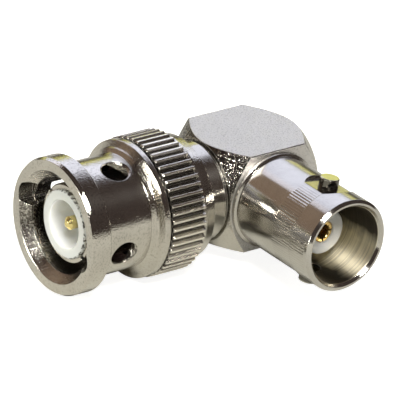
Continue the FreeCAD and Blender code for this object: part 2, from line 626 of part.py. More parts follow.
doc.recompute()
FreeCAD.closeDocument("reckoning")
os.makedirs("parts", exist_ok=True)
for item in doc.Objects:
    if "Invalid" in item.State or "Error" in item.State:
        raise RuntimeError("%s did not compute: %s" % (item.Label, item.State))
for item in doc.Objects:
    if item.TypeId not in ("PartDesign::Body", "Part::Feature"):
        continue
    if item.Shape.isNull() or not item.Shape.isValid() or len(item.Shape.Solids) != 1:
        raise RuntimeError("%s is not one valid solid" % item.Label)
    item.Shape.exportStep("parts/%s.step" % item.Label)
    print("%-20s %8.2f mm3" % (item.Label, item.Shape.Volume))
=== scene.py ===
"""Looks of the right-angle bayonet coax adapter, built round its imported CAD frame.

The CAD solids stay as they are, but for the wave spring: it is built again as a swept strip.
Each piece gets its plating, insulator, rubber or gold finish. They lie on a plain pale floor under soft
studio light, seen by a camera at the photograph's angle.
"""

import json
import logging
import math
from dataclasses import dataclass
from enum import Enum

import bpy
from mathutils import Matrix, Vector

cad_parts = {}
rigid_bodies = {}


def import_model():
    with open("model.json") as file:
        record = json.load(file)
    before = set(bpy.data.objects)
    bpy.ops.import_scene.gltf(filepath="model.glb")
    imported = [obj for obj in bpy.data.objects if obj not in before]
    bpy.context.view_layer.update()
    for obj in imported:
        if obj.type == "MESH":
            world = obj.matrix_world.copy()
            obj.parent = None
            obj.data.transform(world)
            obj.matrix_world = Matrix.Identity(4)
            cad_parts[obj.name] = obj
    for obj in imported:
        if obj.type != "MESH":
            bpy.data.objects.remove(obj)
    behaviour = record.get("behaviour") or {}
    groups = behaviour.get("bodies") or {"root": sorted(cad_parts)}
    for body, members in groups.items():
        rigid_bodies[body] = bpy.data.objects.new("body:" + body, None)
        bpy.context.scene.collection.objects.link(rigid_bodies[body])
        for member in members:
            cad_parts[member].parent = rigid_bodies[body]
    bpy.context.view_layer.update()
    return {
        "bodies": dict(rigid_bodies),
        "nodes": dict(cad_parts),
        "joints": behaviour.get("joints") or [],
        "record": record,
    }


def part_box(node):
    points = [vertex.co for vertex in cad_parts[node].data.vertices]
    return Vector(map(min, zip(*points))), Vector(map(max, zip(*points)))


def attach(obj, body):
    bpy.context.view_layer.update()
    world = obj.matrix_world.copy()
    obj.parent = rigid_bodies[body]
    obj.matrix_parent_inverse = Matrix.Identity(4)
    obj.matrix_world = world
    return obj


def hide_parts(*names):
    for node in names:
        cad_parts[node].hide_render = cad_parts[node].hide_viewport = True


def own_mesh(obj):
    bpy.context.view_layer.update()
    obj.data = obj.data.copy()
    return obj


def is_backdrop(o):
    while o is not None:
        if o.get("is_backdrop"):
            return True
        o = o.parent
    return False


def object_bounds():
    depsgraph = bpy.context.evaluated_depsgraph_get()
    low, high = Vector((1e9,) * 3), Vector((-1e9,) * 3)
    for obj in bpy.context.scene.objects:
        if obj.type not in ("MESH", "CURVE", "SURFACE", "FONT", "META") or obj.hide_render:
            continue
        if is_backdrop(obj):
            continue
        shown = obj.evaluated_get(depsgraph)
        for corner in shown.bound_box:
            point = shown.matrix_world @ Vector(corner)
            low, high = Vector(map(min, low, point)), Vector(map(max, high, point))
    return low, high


LOG = logging.getLogger("adapter")
MM = 0.001

Colour = tuple[float, float, float]
Socket = bpy.types.NodeSocket
Value = Socket | float
Direction = Socket | Vector | tuple[float, float, float]
Paint = Socket | Colour

WHITE: Colour = (1.0, 1.0, 1.0)
FULL_TURN = 2 * math.pi

# Parts of a noise or mask between which an effect sets in
PIT_BAND = (0.52, 0.70)
EDGE_BAND = (0.995, 0.90)
CLOUD_BAND = (0.35, 0.7)
GRAIN_BAND = (0.3, 0.7)


def opaque(colour: Colour) -> tuple[float, float, float, float]:
    """Return the colour with full alpha."""
    return (*colour, 1.0)


def scaled(colour: Colour, factor: float) -> Colour:
    """Return the colour brighter or darker by a factor, held at white."""
    return tuple(min(1.0, factor * part) for part in colour)


# Shader node graphs


class Graph:
    """Short calls that place and join nodes in one node tree."""

    def __init__(self, tree: bpy.types.NodeTree) -> None:
        """Keep the tree that the nodes go into."""
        self.tree = tree

    def node(self, kind: str, **settings: object) -> bpy.types.Node:
        """Place a node.

        Args:
            kind: Blender's type name of the node.
            **settings: Attributes of the node to set.

        Returns:
            The new node.
        """
        made = self.tree.nodes.new(kind)
        for name, value in settings.items():
            setattr(made, name, value)
        return made

    def feed(self, socket: Socket, value: object) -> None:
        """Give a socket another socket's output or a plain value.

        Args:
            socket: Input to fill.
            value: Output to join to it, or the constant that it keeps.
        """
        if isinstance(value, Socket):
            self.tree.links.new(value, socket)
        else:
            socket.default_value = value

    def fill(self, made: bpy.types.Node, **values: object) -> bpy.types.Node:
        """Feed several inputs of a node.

        Args:
            made: The node.
            **values: Sockets or constants by input name, with _ for a space.

        Returns:
            The same node.
        """
        for name, value in values.items():
            self.feed(made.inputs[name.replace("_", " ")], value)
        return made

    def maths(self, operation: str, *values: Value, clamp: bool = False) -> Socket:
        """Join values by one Math operation.

        Args:
            operation: Name of the node's operation.
            *values: Sockets or numbers, in the node's order.
            clamp: Whether the result is held between 0 and 1.

        Returns:
            The result's socket.
        """
        made = self.node("ShaderNodeMath", operation=operation, use_clamp=clamp)
        for socket, value in zip(made.inputs, values):
            self.feed(socket, value)
        return made.outputs[0]

    def times(self, first: Value, second: Value) -> Socket:
        """Multiply two values."""
        return self.maths("MULTIPLY", first, second)

    def plus(self, first: Value, second: Value) -> Socket:
        """Add two values."""
        return self.maths("ADD", first, second)

    def vectors(self, operation: str, *values: Direction) -> bpy.types.Node:
        """Join vectors by one Vector Math operation.

        Args:
            operation: Name of the node's operation.
            *values: Sockets or vectors, in the node's order.

        Returns:
            The node, whose Vector or Value output is the result.
        """
        made = self.node("ShaderNodeVectorMath", operation=operation)
        for socket, value in zip(made.inputs, values):
            self.feed(socket, value)
        return made

    def spread(self, value: Value, low: float, high: float, to_low: float = 0.0,
               to_high: float = 1.0) -> Socket:
        """Map a value from one range to another, held at its ends.

        Args:
            value: Socket to map.
            low: Value that becomes to_low.
            high: Value that becomes to_high.
            to_low: Result at low.
            to_high: Result at high.

        Returns:
            The result's socket.
        """
        made = self.node("ShaderNodeMapRange", clamp=True)
        self.fill(made, Value=value, From_Min=low, From_Max=high, To_Min=to_low, To_Max=to_high)
        return made.outputs["Result"]

    def noise(self, place: Socket, scale: Value, detail: float = 2.0, roughness: float = 0.5) -> Socket:
        """Place a 3-D noise.

        Args:
            place: Where in space the noise is read.
            scale: Number of its features to a unit of place.
            detail: How many finer layers lie on it.
            roughness: How strong the finer layers are.

        Returns:
            The socket of its value, from 0 to 1.
        """
        made = self.node("ShaderNodeTexNoise")
        self.fill(made, Vector=place, Scale=scale, Detail=detail, Roughness=roughness)
        return made.outputs["Fac"]

    def object_place(self) -> Socket:
        """Return the socket of the point's place in its object."""
        return self.node("ShaderNodeTexCoord").outputs["Object"]

    def bumped(self, height: Socket, normal: Socket | None = None) -> Socket:
        """Turn a height into a normal.

        Args:
            height: Height in millimetres.
            normal: Normal to start from, or None for the surface's own.

        Returns:
            The new normal's socket.
        """
        made = self.fill(self.node("ShaderNodeBump"), Strength=1.0, Distance=MM, Height=height)
        if normal:
            self.feed(made.inputs["Normal"], normal)
        return made.outputs["Normal"]

    def blend(self, share: Value, first: Paint, second: Paint) -> Socket:
        """Mix two colours.

        Args:
            share: Share of the second colour, from 0 to 1.
            first: Socket or colour at 0.
            second: Socket or colour at 1.

        Returns:
            The mixed colour's socket.
        """
        made = self.node("ShaderNodeMix", data_type="RGBA")
        self.feed(made.inputs["Factor"], share)
        for name, value in (("A", first), ("B", second)):
            socket = [s for s in made.inputs if s.name == name and s.type == "RGBA"][0]
            self.feed(socket, opaque(value) if isinstance(value, tuple) else value)
        return [s for s in made.outputs if s.type == "RGBA"][0]

    def use(self, group: bpy.types.NodeTree, **values: object) -> bpy.types.Node:
        """Place a shared group with inputs of its own."""
        return self.fill(self.node("ShaderNodeGroup", node_tree=group), **values)


class SharedEffect:
    """A shader node group with named inputs and outputs, built once."""

    def __init__(self, name: str, inputs: dict[str, tuple[str, object]],
                 outputs: dict[str, str]) -> None:
        """Make an empty group.

        Args:
            name: Name of the group.
            inputs: Socket name to its kind, Float or Vector, and its default.
            outputs: Socket name to its kind.
        """
        self.tree = bpy.data.node_groups.new(name, "ShaderNodeTree")
        face = self.tree.interface
        for label, (kind, default) in inputs.items():
            socket = face.new_socket(label, in_out="INPUT", socket_type="NodeSocket" + kind)
            socket.default_value = default
        for label, kind in outputs.items():
            face.new_socket(label, in_out="OUTPUT", socket_type="NodeSocket" + kind)
        self.graph = Graph(self.tree)
        self.given = self.graph.node("NodeGroupInput").outputs
        self.result = self.graph.node("NodeGroupOutput")

    def give(self, **values: Socket) -> bpy.types.NodeTree:
        """Feed the group's outputs by name and return its tree."""
        self.graph.fill(self.result, **values)
        return self.tree


def axis_frame_effect() -> bpy.types.NodeTree:
    """Build the group that tells where a point is along, out from and round a turning axis.

    Returns:
        A group with Along and Out in millimetres and Turn in turns from Up towards Side.
    """
    made = SharedEffect("axis_frame", {"Origin": ("Vector", (0, 0, 0)), "Ahead": ("Vector", (-1, 0, 0)),
                                       "Up": ("Vector", (0, 0, 1)), "Side": ("Vector", (0, 1, 0))},
                        {"Along": "Float", "Out": "Float", "Turn": "Float"})
    g = made.graph
    from_origin = g.vectors("SUBTRACT", g.object_place(), made.given["Origin"]).outputs["Vector"]
    in_mm = g.vectors("MULTIPLY", from_origin, (1 / MM, 1 / MM, 1 / MM)).outputs["Vector"]
    parts = {name: g.vectors("DOT_PRODUCT", in_mm, made.given[name]).outputs["Value"]
             for name in ("Ahead", "Up", "Side")}
    squares = g.plus(*(g.maths("POWER", parts[name], 2.0) for name in ("Up", "Side")))
    angle = g.maths("ARCTAN2", parts["Side"], parts["Up"])
    return made.give(Along=parts["Ahead"], Out=g.maths("SQRT", squares),
                     Turn=g.maths("DIVIDE", angle, FULL_TURN))


def turning_lines_effect() -> bpy.types.NodeTree:
    """Build the group for the fine lines that a lathe tool leaves round a turned piece.

    Returns:
        A group with Lines, from 0 to 1, which run round the axis and fade in and out.
    """
    made = SharedEffect("turning_lines", {"Along": ("Float", 0.0), "Out": ("Float", 0.0),
                                          "Turn": ("Float", 0.0), "Pitch": ("Float", 0.1),
                                          "Fading": ("Float", 0.6)}, {"Lines": "Float"})
    g = made.graph
    angle = g.times(made.given["Turn"], FULL_TURN)
    place = g.node("ShaderNodeCombineXYZ")
    for name, given in (("X", "Along"), ("Y", "Out")):
        g.feed(place.inputs[name], g.maths("DIVIDE", made.given[given], made.given["Pitch"]))
    g.feed(place.inputs["Z"], g.times(g.maths("COSINE", angle), made.given["Fading"]))
    noise = g.node("ShaderNodeTexNoise", noise_dimensions="4D")
    wound = g.times(g.maths("SINE", angle), made.given["Fading"])
    g.fill(noise, Vector=place.outputs["Vector"], W=wound, Scale=1.0, Detail=3.0)
    return made.give(Lines=noise.outputs["Fac"])


def plate_grain_effect() -> bpy.types.NodeTree:
    """Build the group for the tiny pits and glints of plated metal.

    Returns:
        A group with Grain, a fine tooth, Pits, its deepest spots, and Cloud, broad patches, all 0 to 1.
    """
    made = SharedEffect("plate_grain", {"Grain Size": ("Float", 0.1), "Cloud Size": ("Float", 3.0)},
                        {"Grain": "Float", "Pits": "Float", "Cloud": "Float"})
    g = made.graph
    place = g.object_place()
    fine, broad = (g.maths("DIVIDE", 1 / MM, made.given[name]) for name in ("Grain Size", "Cloud Size"))
    grain = g.noise(place, fine, detail=2.0, roughness=0.6)
    cloud = g.noise(place, broad, detail=3.0, roughness=0.55)
    return made.give(Grain=grain, Pits=g.spread(grain, *PIT_BAND), Cloud=cloud)


def edge_highlight_effect() -> bpy.types.NodeTree:
    """Build the group that finds sharp edges, for their painted highlight, and rounds their light a
    little.

    Returns:
        A group with Edge, from 0 on a face to 1 on its edge, and the rounded Normal.
    """
    made = SharedEffect("worn_edge", {"Width": ("Float", 0.06)}, {"Edge": "Float", "Normal": "Vector"})
    g = made.graph
    soft = g.fill(g.node("ShaderNodeBevel", samples=4), Radius=g.times(made.given["Width"], MM))
    flat = g.node("ShaderNodeNewGeometry").outputs["Normal"]
    same = g.vectors("DOT_PRODUCT", soft.outputs["Normal"], flat).outputs["Value"]
    return made.give(Edge=g.spread(same, *EDGE_BAND), Normal=soft.outputs["Normal"])


def occlusion_shade_effect() -> bpy.types.NodeTree:
    """Build the group that finds corners and grooves, for the painted shade that darkens them.

    Returns:
        A group with Dirt, from 0 in the open to 1 deep in a hollow.
    """
    made = SharedEffect("hollow_dirt", {"Reach": ("Float", 0.6), "Start": ("Float", 0.75)},
                        {"Dirt": "Float"})
    g = made.graph
    shade = g.node("ShaderNodeAmbientOcclusion", samples=6)
    start = made.given["Start"]
    g.fill(shade, Distance=g.times(made.given["Reach"], MM))
    closed = g.maths("SUBTRACT", start, shade.outputs["AO"])
    return made.give(Dirt=g.maths("DIVIDE", closed, start, clamp=True))


@dataclass
class Effects:
    """The shared groups, built once and placed in every material that uses them."""

    axis_frame: bpy.types.NodeTree
    turning_lines: bpy.types.NodeTree
    plate_grain: bpy.types.NodeTree
    worn_edge: bpy.types.NodeTree
    hollow_dirt: bpy.types.NodeTree

    @classmethod
    def built(cls) -> "Effects":
        """Build every shared group."""
        return cls(axis_frame_effect(), turning_lines_effect(), plate_grain_effect(),
                   edge_highlight_effect(), occlusion_shade_effect())

    def place_axis(self, g: Graph, axis: "TurningAxis") -> bpy.types.Node:
        """Place axis_frame for a turning axis."""
        return g.use(self.axis_frame, Origin=axis.origin, Ahead=axis.ahead, Up=axis.up, Side=axis.side)

    def place_lines(self, g: Graph, frame: bpy.types.Node, pitch: float) -> Socket:
        """Place turning_lines round a placed axis_frame and return its Lines."""
        given = {name: frame.outputs[name] for name in ("Along", "Out", "Turn")}
        return g.use(self.turning_lines, Pitch=pitch, **given).outputs["Lines"]


def for_camera(g: Graph, others: Socket, camera: Socket) -> Socket:
    """Mix two shaders so that only the camera sees the second.

    Args:
        g: Graph of the material or world.
        others: Shader for all other rays.
        camera: Shader for the camera's rays.

    Returns:
        The mixed shader's socket.
    """
    mix = g.node("ShaderNodeMixShader")
    g.fill(mix, Fac=g.node("ShaderNodeLightPath").outputs["Is Camera Ray"])
    for socket, shader in zip(mix.inputs[1:], (others, camera)):
        g.feed(socket, shader)
    return mix.outputs["Shader"]


def new_material(name: str) -> tuple[bpy.types.Material, Graph]:
    """Make an empty material.

    Args:
        name: Its name.

    Returns:
        The material and its graph.
    """
    made = bpy.data.materials.new(name)
    made.use_nodes = True
    made.node_tree.nodes.clear()
    return made, Graph(made.node_tree)


# The object's own axes, read from the frame


@dataclass(frozen=True)
class TurningAxis:
    """The line that a turned piece is turned about, with its clock directions."""

    origin: Vector
    ahead: Vector
    up: Vector
    side: Vector

    @property
    def letter(self) -> str:
        """Letter of the frame's axis that this line runs along."""
        return "XYZ"[max(range(3), key=lambda i: abs(self.ahead[i]))]


@dataclass(frozen=True)
class Layout:
    """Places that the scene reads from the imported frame, in metres."""

    plug: TurningAxis
    jack: TurningAxis
    crossing: Vector
    block_low: Vector
    block_high: Vector

    @classmethod
    def from_frame(cls) -> "Layout":
        """Read where the two axes cross from the plug's pin and the jack's contact.

        Returns:
            Both axes, their crossing and the block's corners.
        """
        pin_low, pin_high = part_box("plug_pin")
        socket_low, socket_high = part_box("jack_contact")
        pin, socket = (pin_low + pin_high) / 2, (socket_low + socket_high) / 2
        crossing = Vector((socket.x, pin.y, pin.z))
        up = Vector((0, 0, 1))
        plug = TurningAxis(crossing, Vector((-1, 0, 0)), up, Vector((0, 1, 0)))
        jack = TurningAxis(crossing, Vector((0, -1, 0)), up, Vector((1, 0, 0)))
        low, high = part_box("elbow_body")
        return cls(plug, jack, crossing, low, high)


# Finishes


class Tone(Enum):
    """Base colours of the finishes."""

    NICKEL = (0.64, 0.61, 0.55)
    NICKEL_BARREL = (0.60, 0.575, 0.53)
    NICKEL_SATIN = (0.74, 0.715, 0.70)
    NICKEL_BORED = (0.90, 0.82, 0.62)
    # wear and painted highlight on the knurl's rib tops
    NICKEL_WEAR_AND_SHEEN = (0.88, 0.83, 0.74)
    NICKEL_SHADE = (0.05, 0.042, 0.036)
    NICKEL_STUD = (0.72, 0.71, 0.62)
    GOLD = (0.92, 0.66, 0.27)
    GOLD_SHADE = (0.30, 0.13, 0.03)
    GOLD_BRIGHT = (0.95, 0.79, 0.34)
    # painted shade for the pin's shank
    GOLD_SHANK_SHADE = (0.36, 0.30, 0.14)
    INSULATOR = (0.86, 0.88, 0.85)
    # painted shade: a dimmed copy of the insulator white for the plug's face
    INSULATOR_PAINTED_DIM = (0.58, 0.60, 0.57)
    # painted light: a lit copy of the insulator white for the cup's walls
    INSULATOR_LIT = (0.97, 0.99, 0.95)
    INSULATOR_SHADE = (0.55, 0.53, 0.46)
    STEEL = (0.45, 0.44, 0.43)
    GASKET = (0.06, 0.025, 0.02)


@dataclass(frozen=True)
class PlatedFinish:
    """Turned metal with a bright plate, lathe lines, pits, painted shade in hollows and painted
    highlight on edges, in millimetres.
    """

    name: str
    tone: Tone = Tone.NICKEL
    shade: Tone = Tone.NICKEL_SHADE
    roughness: float = 0.15
    uneven: float = 0.05
    line_pitch: float = 0.09
    line_depth: float = 0.0012
    grain_size: float = 0.12
    glitter_size: float = 0.26
    grain_depth: float = 0.003
    pit_share: float = 0.15
    edge_width: float = 0.07
    edge_shine: float = 0.5
    edge_roughness: float = 0.0
    brushed: float = 0.8
    shade_reach: float = 0.5
    shade_share: float = 0.6


class PlatedTree:
    """A plated material under construction."""

    CLOUD_DIMMING = 0.9
    HOLLOW_ROUGHNESS = 0.5
    EDGE_BRIGHTENING = 1.25
    BRUSHED_ROUND = 0.25

    def __init__(self, finish: PlatedFinish, effects: Effects, axis: TurningAxis) -> None:
        """Place the shared groups and the plain plate's colour, roughness and height.

        Args:
            finish: Values of the finish.
            effects: The shared groups.
            axis: Axis that the piece was turned about.
        """
        self.finish, self.axis = finish, axis
        self.material, self.graph = new_material(finish.name)
        g = self.graph
        self.frame = effects.place_axis(g, axis)
        self.along, self.out, self.turn = self.frame.outputs
        self.lines = effects.place_lines(g, self.frame, finish.line_pitch)
        grain = g.use(effects.plate_grain, Grain_Size=finish.grain_size)
        self.grain, self.pits, self.cloud = grain.outputs
        self.glitter = g.use(effects.plate_grain, Grain_Size=finish.glitter_size).outputs["Grain"]
        self.edge_group = g.use(effects.worn_edge, Width=finish.edge_width)
        self.edge, self.normal = self.edge_group.outputs
        hollow_shade = g.use(effects.hollow_dirt, Reach=finish.shade_reach)
        self.hollow_shade = g.times(hollow_shade.outputs["Dirt"], finish.shade_share)
        self.height = g.plus(g.times(self.lines, finish.line_depth),
                             g.times(self.grain, finish.grain_depth))
        tone, clouded = finish.tone.value, g.spread(self.cloud, *CLOUD_BAND)
        self.colour = g.blend(clouded, tone, scaled(tone, self.CLOUD_DIMMING))
        self.tint(g.times(self.pits, finish.pit_share), finish.shade.value)
        uneven = g.times(g.plus(self.cloud, self.lines), finish.uneven)
        self.roughness = g.plus(uneven, finish.roughness - finish.uneven)

    def within(self, value: Socket, low: float, high: float, soft: float = 0.03) -> Socket:
        """Return a mask that is 1 where a value lies between two bounds, with soft ends."""
        rising, falling = (low - soft, low + soft), (high + soft, high - soft)
        return self.graph.times(self.graph.spread(value, *rising), self.graph.spread(value, *falling))

    def roughen(self, mask: Value, roughness: float) -> None:
        """Change the roughness to another one where a mask is 1."""
        step = self.graph.maths("SUBTRACT", roughness, self.roughness)
        self.roughness = self.graph.plus(self.roughness, self.graph.times(mask, step))

    def tint(self, mask: Value, colour: Colour) -> None:
        """Change the colour to another one where a mask is 1."""
        self.colour = self.graph.blend(mask, self.colour, colour)

    def darken(self, mask: Value) -> None:
        """Change the colour to the dark nickel tone where a mask is 1, for dark specks and marks and
        for painted shade and painted dark reflections.
        """
        self.tint(mask, Tone.NICKEL_SHADE.value)

    def raise_by(self, mask: Value, height: Value) -> None:
        """Add a height in millimetres where a mask is 1."""
        self.height = self.graph.plus(self.height, self.graph.times(mask, height))

    def close(self) -> bpy.types.Material:
        """Add the painted shade in hollows and the painted highlight on edges, and join everything to
        the shader.

        Returns:
            The finished material.
        """
        g, finish = self.graph, self.finish
        # painted shade: hollows darkened by ambient occlusion, and roughened there
        self.tint(self.hollow_shade, finish.shade.value)
        self.roughen(self.hollow_shade, self.HOLLOW_ROUGHNESS)
        if finish.edge_roughness:
            self.roughen(self.edge, finish.edge_roughness)
        # painted highlight: edges lightened towards a brighter copy of the tone
        self.tint(g.times(self.edge, finish.edge_shine),
                  scaled(finish.tone.value, self.EDGE_BRIGHTENING))
        shader = g.node("ShaderNodeBsdfPrincipled")
        g.fill(shader, Metallic=1.0, Base_Color=self.colour, Roughness=self.roughness,
               Normal=g.bumped(self.height, self.normal))
        if finish.brushed:
            round_axis = g.node("ShaderNodeTangent", direction_type="RADIAL", axis=self.axis.letter)
            g.fill(shader, Tangent=round_axis.outputs["Tangent"], Anisotropic=finish.brushed,
                   Anisotropic_Rotation=self.BRUSHED_ROUND)
        g.fill(g.node("ShaderNodeOutputMaterial"), Surface=shader.outputs["BSDF"])
        return self.material


@dataclass(frozen=True)
class SoftFinish:
    """A white insulator or a rubber: matt, mottled and with painted shade in its corners, in
    millimetres.
    """

    name: str
    tone: Tone
    shade: Tone
    roughness: float = 0.45
    uneven: float = 0.1
    glow: float = 0.0
    glow_depth: float = 2.5
    glow_colour: Colour = (1.0, 0.95, 0.85)
    line_pitch: float = 0.12
    line_depth: float = 0.002
    grain_size: float = 0.15
    shade_reach: float = 0.4
    shade_share: float = 0.3
    mottle: float = 0.15
    mottle_band: tuple[float, float] = (0.45, 0.8)
    face: float = 0.0
    lit_depth: float = 3.4
    shaded_depth: float = 4.8
    cup_shade: float = 0.3
    cup_radius: float = 2.43
    wall_band: tuple[float, float] = (0.06, 0.01)
    ragged_radius: float = 0.0
    ragged_width: float = 0.18
    tears_per_mm: float = 2.4
    torn_band: tuple[float, float] = (0.49, 0.54)

    def material(self, effects: Effects, axis: TurningAxis) -> bpy.types.Material:
        """Build the material.

        Args:
            effects: The shared groups.
            axis: Axis that the piece was turned about.

        Returns:
            The material.
        """
        made, g = new_material(self.name)
        frame = effects.place_axis(g, axis)
        lines = effects.place_lines(g, frame, self.line_pitch)
        grain = g.use(effects.plate_grain, Grain_Size=self.grain_size)
        hollow_shade = g.use(effects.hollow_dirt, Reach=self.shade_reach)
        mottled = g.spread(grain.outputs["Cloud"], *self.mottle_band, 0.0, self.mottle)
        # painted shade in hollows, from ambient occlusion, with random mottling
        share = g.maths("ADD", g.times(hollow_shade.outputs["Dirt"], self.shade_share), mottled, clamp=True)
        colour = g.blend(share, self.tone.value, self.shade.value)
        if self.face:
            colour = self.shaded_cup(g, frame, colour)
        shader = g.node("ShaderNodeBsdfPrincipled")
        matt = g.spread(grain.outputs["Grain"], *GRAIN_BAND, self.roughness,
                        self.roughness + self.uneven)
        normal = g.bumped(g.times(lines, self.line_depth))
        g.fill(shader, Base_Color=colour, Roughness=matt, Normal=normal)
        if self.glow:
            g.fill(shader, Subsurface_Weight=self.glow, Subsurface_Radius=self.glow_colour,
                   Subsurface_Scale=self.glow_depth * MM)
        g.fill(g.node("ShaderNodeOutputMaterial"), Surface=shader.outputs["BSDF"])
        return made

    def shaded_cup(self, g: Graph, frame: bpy.types.Node, colour: Socket) -> Socket:
        """Paint the cup's walls lighter than the face and paint shade towards the cup's bottom, and
        paint shaded nicks into the face's torn outer edge.

        Args:
            g: The material's graph.
            frame: The placed axis_frame group.
            colour: Colour so far.

        Returns:
            The changed colour's socket.
        """
        along, out = frame.outputs["Along"], frame.outputs["Out"]
        # painted light: the cup's walls lighter than the face
        walls = g.spread(out, *(self.cup_radius + step for step in self.wall_band))
        colour = g.blend(walls, colour, Tone.INSULATOR_LIT.value)
        # painted shade towards the cup's bottom
        depth = g.spread(along, self.face - self.lit_depth, self.face - self.shaded_depth)
        colour = g.blend(g.times(depth, self.cup_shade), colour, self.shade.value)
        # painted shade in nicks along the torn outer edge
        tears = g.noise(g.object_place(), self.tears_per_mm / MM, roughness=0.7)
        torn = g.spread(tears, *self.torn_band)
        edge = g.spread(out, self.ragged_radius - self.ragged_width,
                        self.ragged_radius - self.ragged_width / 2)
        return g.blend(g.times(torn, edge), colour, Tone.NICKEL_SHADE.value)


# Sub-assemblies


@dataclass
class SubAssembly:
    """Pieces that are dressed together."""

    effects: Effects
    layout: Layout
    nodes: dict[str, bpy.types.Object]

    def paint(self, node: str, material: bpy.types.Material, slot: str) -> None:
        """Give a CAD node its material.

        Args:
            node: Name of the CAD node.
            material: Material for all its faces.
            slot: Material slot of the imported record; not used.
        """
        piece = self.nodes[node]
        piece.data.materials.clear()
        piece.data.materials.append(material)
        LOG.info("%s: %s", node, material.name)


@dataclass
class ElbowBlock(SubAssembly):
    """The square block with its turned collar, in millimetres from the crossing of the axes.

    Where its ends turn smooth is in turns from the top.
    """

    bar_rim: float = 0.03
    flat_roughness: float = 0.34
    flat_grain_depth: float = 0.06
    flat_pit_share: float = 0.4
    turned_far: float = -4.4
    turned_near: float = 5.2
    turned_roughness: float = 0.12
    turned_glitter_depth: float = 0.11
    turned_line_depth: float = 0.006
    turned_painted_dark: float = 0.85
    dark_speckle_band: tuple[float, float] = (0.6, 0.54)
    smooth_below: float = 0.33
    smooth_fade: float = 0.05

    def dress(self) -> None:
        """Dress the block: satin drawn flats and sparkling turned ends."""
        # edge_shine 1.0 paints a full highlight along the block's edges
        finish = PlatedFinish("nickel_block", roughness=0.18, line_pitch=0.12, line_depth=0.003,
                              grain_size=0.16, edge_width=0.12, edge_shine=1.0, edge_roughness=0.46)
        tree = PlatedTree(finish, self.effects, self.layout.plug)
        g = tree.graph
        flats = self.flat_mask(g)
        tree.roughen(flats, self.flat_roughness)
        tree.tint(flats, Tone.NICKEL_SATIN.value)
        tree.darken(g.times(g.times(flats, tree.pits), self.flat_pit_share))
        tree.raise_by(flats, g.times(tree.grain, self.flat_grain_depth))
        self.speckle_ends(tree, flats)
        self.paint("elbow_body", tree.close(), "nickel_block")

    def speckle_ends(self, tree: PlatedTree, flats: Socket) -> None:
        """Make the turned faces round the collar bright, with a coarse sparkle and a speckled painted
        dark reflection on their upper part.

        Args:
            tree: The block's material.
            flats: Mask of the drawn bar's flats, which stay as they are.
        """
        g = tree.graph
        ends = g.times(tree.within(tree.along, self.turned_far, self.turned_near),
                       g.maths("SUBTRACT", 1.0, flats))
        tree.roughen(ends, self.turned_roughness)
        tree.raise_by(ends, g.times(tree.lines, self.turned_line_depth))
        upper = g.times(ends, g.spread(g.maths("ABSOLUTE", tree.turn), self.smooth_below,
                                       self.smooth_below - self.smooth_fade))
        tree.raise_by(upper, g.times(tree.glitter, self.turned_glitter_depth))
        # painted dark reflection, speckled over the upper part of the turned ends
        painted_dark = g.spread(tree.glitter, *self.dark_speckle_band, 0.0, self.turned_painted_dark)
        tree.darken(g.times(upper, painted_dark))

    def flat_mask(self, g: Graph) -> Socket:
        """Build a mask that is 1 on the drawn bar's own flats.

        Args:
            g: The material's graph.

        Returns:
            The mask's socket.
        """
        layout = self.layout
        place = g.fill(g.node("ShaderNodeSeparateXYZ"), Vector=g.object_place())
        half = (layout.block_high.z - layout.block_low.z) / 2 - self.bar_rim * MM
        flats = []
        for name, middle in (("Y", layout.crossing.y), ("Z", layout.crossing.z)):
            away = g.maths("ABSOLUTE", g.maths("SUBTRACT", place.outputs[name], middle))
            flats.append(g.maths("GREATER_THAN", away, half))
        return g.maths("MAXIMUM", *flats)


